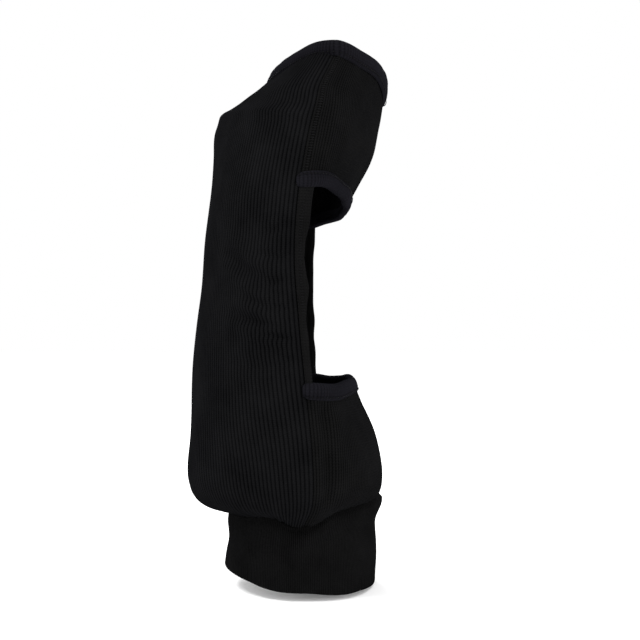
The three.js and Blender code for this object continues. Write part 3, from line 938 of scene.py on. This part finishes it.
CUFF_ROUND = 333.0  # mm of cloth round the cuff
CUFF_RIB = 1.25
CUFF_RIB_ROWS = 4  # mesh rows for each rib
CUFF_THICKNESS = 4.4  # of both layers and the fold between them
CUFF_MIDDLE = CUFF_THICKNESS / 2
CUFF_TUCK = 2.6  # how far its top reaches up inside the body's edge
WALL_POINTS, FOLD_POINTS = 28, 10  # mesh points down each layer, and round the fold
CUFF_HIDDEN = 0.3  # how far the hidden side of the cloth lies from the middle of the fold
# Shallow folds of the cuff: each one's turn, its slope and its depth.
CUFF_FOLDS = (
    (74, 0.35, 0.9),
    (100, -0.3, 0.8),
    (47, 0.5, 0.6),
    (128, -0.4, 0.6),
    (-80, 0.3, 0.8),
    (-110, -0.4, 0.7),
)
CUFF_FOLD_DOWN = 20  # how far below the cuff's top they are deepest
OVERLOCK_LOOPS, LOOP_ROWS = 132, 4  # thread loops round the cuff's seam, and mesh rows for each
# The overlock strip's section: how far in from the cuff's face, and down from its top, in mm.
OVERLOCK_DEPTH = np.array([5.0, 5.0, 5.0, 5.1, 6.0, 6.2, 6.2, 6.0])
OVERLOCK_DOWN = np.array([1.0, 3.0, 5.0, 6.6, 6.6, 5.0, 3.0, 1.0])


def around(measure, turn):
    """A measure of the cuff given at its back, side and front, at any turn."""
    to_front = np.cos(np.radians(turn))
    end = np.where(to_front > 0, measure["front"], measure["back"])
    return measure["side"] + (end - measure["side"]) * np.abs(to_front) ** BLEND_POWER


def cuff_top(turn):
    """The height of the cuff's top edge, which follows the neck seam."""
    return around(CUFF_TOP, turn) - neck_dip(turn)


def cuff_point(turn, depth, down):
    """A point `depth` mm inside the cuff's outer face and `down` mm below its top."""
    calm = smooth(down / CUFF_BULGE_DEPTH)
    reach = around(CUFF_BULGE, turn) * (1 - calm) - depth
    angle = np.radians(turn)
    x = -(CUFF_HALF_WIDTH + reach) * np.sin(angle)
    y = CUFF_CENTRE_Y - (CUFF_HALF_DEPTH + reach) * np.cos(angle)
    return np.stack([x, y, cuff_top(turn) - down], axis=-1)


def cuff_lift(turns, x, down, share, face, rib):
    """How far the cuff's faces stand out: ribs, a flare at the back, puffs and ruffles under the neck seam,
    ribs in the hem, and folds. face runs from 1 outside, round the bottom, to -1 inside."""
    outside = face > 0
    flare = smooth((-np.cos(np.radians(turns)) - 0.3) / 0.7) * smooth((down - 14) / 22)
    puff = (0.5 + 1.8 * neck_dip(turns) / DIP_DEPTH) * near(down - 6.5, 5.0)
    ruffle = gathers(x, 6.3, 9.7, 0.7, 1) * near(down - 4.5, 5.0)
    hem_ribs = np.sin(x * 2 * math.pi / 3.4) * smooth(share * 2 - 1)
    lift = face * (2.0 * flare + 0.24 * (rib - 0.5) + 0.15 * ruffle + 0.16 * hem_ribs) + puff * outside
    for turn, slope, deep in CUFF_FOLDS:
        below = down - CUFF_FOLD_DOWN
        across = (turns - turn) / 360 * CUFF_ROUND - slope * below
        lift = lift - deep * near(across, 3.2) * near(below, 11) * outside
    return lift


def make_cuff():
    """The cuff: ribbed outside, rolled over a soft fold at the bottom and up again inside."""
    count = round(CUFF_ROUND / CUFF_RIB) * CUFF_RIB_ROWS
    turns = (np.arange(count) / count * 360.0 - 180.0)[:, None]
    x = (turns + 180) / 360 * CUFF_ROUND
    height = cuff_top(turns) - around(CUFF_BOTTOM, turns)
    wall = np.linspace(0, 1, WALL_POINTS)
    turning = np.linspace(0, math.pi, FOLD_POINTS)[1:-1]
    share = np.concatenate([wall, np.ones(len(turning)), wall[::-1]])
    bend = np.concatenate([0 * wall, turning, math.pi + 0 * wall])
    face = np.cos(bend)

    def layer(radius):
        """Down and depth along the cloth's outside at this radius from the middle of the fold, in mm."""
        down = (height - CUFF_MIDDLE + CUFF_TUCK) * share - CUFF_TUCK + radius * np.sin(bend)
        slack = waves(71, x, down, 48.0, 0.6) * smooth(down / 14) + waves(72, x, down, 17.0, 0.12)
        hem = waves(73, x, 0, 60.0, 0.5) * smooth(share * 1.4 - 0.4)
        return down + hem, CUFF_MIDDLE - radius * face - slack

    down, depth = layer(CUFF_MIDDLE)
    under_edge = np.clip(1 + 1.2 * np.cos(np.radians(turns)), 0, 1)
    tuck = 2.2 * under_edge * (1 - smooth((down + 0.4) / 2.6)) * (face > 0)
    rib = rib_wave(np.arange(count) / CUFF_RIB_ROWS)[:, None]
    lift = cuff_lift(turns, x, down, share, face, rib) - tuck
    shown = cuff_point(turns, depth - lift, down)
    down, depth = layer(CUFF_HIDDEN)
    hidden = cuff_point(turns, depth + 0.6 * tuck, down)
    uv = uv_grid((np.arange(count + 1) / CUFF_RIB_ROWS)[:, None], walked_along(shown[0]))
    # Painted shade in the rib hollows, and full painted shade on the inside face.
    painted_light = rib + 0 * down
    obj = lattice(
        "neck_cuff_cloth",
        double_sided(shown, hidden),
        double_sided(uv, uv),
        double_sided(painted_light, 0 * painted_light),
        closed=True,
    )
    finish_piece(obj, "neck_cuff", CUFF_KNIT)


def make_cuff_overlock():
    """The overcast seam allowance inside the cuff's top: a strip with thread loops over its inner side."""
    count = OVERLOCK_LOOPS * LOOP_ROWS
    turns = (np.arange(count) / count * 360.0 - 180.0)[:, None]
    loop = rib_wave(np.arange(count) / LOOP_ROWS)[:, None]
    swell = np.where(OVERLOCK_DEPTH > 5.5, 0.5, 0.0) * loop
    points = cuff_point(turns, OVERLOCK_DEPTH + swell, OVERLOCK_DOWN)
    across = np.arange(len(OVERLOCK_DOWN)) * 1.3
    uv = uv_grid(np.arange(count + 1)[:, None] / LOOP_ROWS, across)
    obj = lattice("cuff_overlock_loops", points, uv, loop + 0 * swell, closed=True)
    finish_piece(obj, "cuff_overlock", THREAD)


# ---------- camera, light and floor

CAMERA_DISTANCE = 700.0  # mm from the middle of the hood, on the wearer's right
CAMERA_Y, CAMERA_Z = -30.0, -37.0
CAMERA_SHIFT = 0.0422  # of the picture's width, because the hood stands a little low in it
SENSOR, LENS = 36.0, 56.25

# Each light's place in metres and its power in watts. All of them face the middle of the hood.
LIGHTS = {
    "key": ((-1.0, 1.1, 2.0), 44),
    "front": ((-1.5, -1.8, 0.4), 20),
    "top": ((0.3, -0.9, 2.2), 14),
    "far_side": ((1.9, 0.6, 1.2), 26),
}
LIGHT_SIZE = 0.9
FLOOR_HALF = 30.0  # metres, so that its edge never shows
FLOOR_GAP = 0.001  # below the frame's lowest point
FLOOR_COLOUR, FLOOR_GLOW = (0.93, 0.93, 0.93, 1), 0.12
WHITE = (1, 1, 1, 1)


def add_camera():
    """The camera looks level at the hood's right side."""
    data = bpy.data.cameras.new("camera")
    data.lens = LENS
    data.sensor_width = SENSOR
    data.shift_y = CAMERA_SHIFT
    data.clip_start, data.clip_end = 0.01, 50
    camera = bpy.data.objects.new("camera", data)
    camera.location = Vector((-CAMERA_DISTANCE, CAMERA_Y, CAMERA_Z)) * MM
    camera.rotation_euler = (math.pi / 2, 0, -math.pi / 2)
    bpy.context.scene.collection.objects.link(camera)
    bpy.context.scene.camera = camera


def add_lights():
    """A white surround and four soft lights."""
    world = bpy.data.worlds.new("studio")
    world.use_nodes = True
    background = world.node_tree.nodes["Background"]
    background.inputs["Color"].default_value = WHITE
    background.inputs["Strength"].default_value = 1.0
    bpy.context.scene.world = world
    bpy.context.scene.view_settings.view_transform = "Standard"
    for name, (location, power) in LIGHTS.items():
        data = bpy.data.lights.new(name, "AREA")
        data.shape = "DISK"
        data.size = LIGHT_SIZE
        data.energy = power
        light = bpy.data.objects.new(name, data)
        light.location = location
        light.rotation_euler = (-Vector(location)).to_track_quat("-Z", "Y").to_euler()
        bpy.context.scene.collection.objects.link(light)


def add_floor():
    """A white floor just under the cuff."""
    half, drop = FLOOR_HALF, cad_box[0][2] - FLOOR_GAP
    corners = [(-half, -half, drop), (half, -half, drop), (half, half, drop), (-half, half, drop)]
    mesh = bpy.data.meshes.new("floor")
    mesh.from_pydata(corners, [], [(0, 1, 2, 3)])
    floor = bpy.data.objects.new("floor", mesh)
    bpy.context.scene.collection.objects.link(floor)
    n = Nodes("floor_paint")
    n.set(Base_Color=FLOOR_COLOUR, Roughness=0.9, Specular_IOR_Level=0.0)
    n.set(Emission_Color=WHITE, Emission_Strength=FLOOR_GLOW)
    floor.data.materials.append(n.material)


add_camera()
add_lights()
add_floor()
make_back_panel()
make_front_panels()
make_bindings()
for side_name, seam_turn in (("right", RIGHT), ("left", LEFT)):
    make_face_band(side_name, seam_turn)
    make_seam_overlock(side_name, seam_turn)
make_cuff()
make_cuff_overlock()
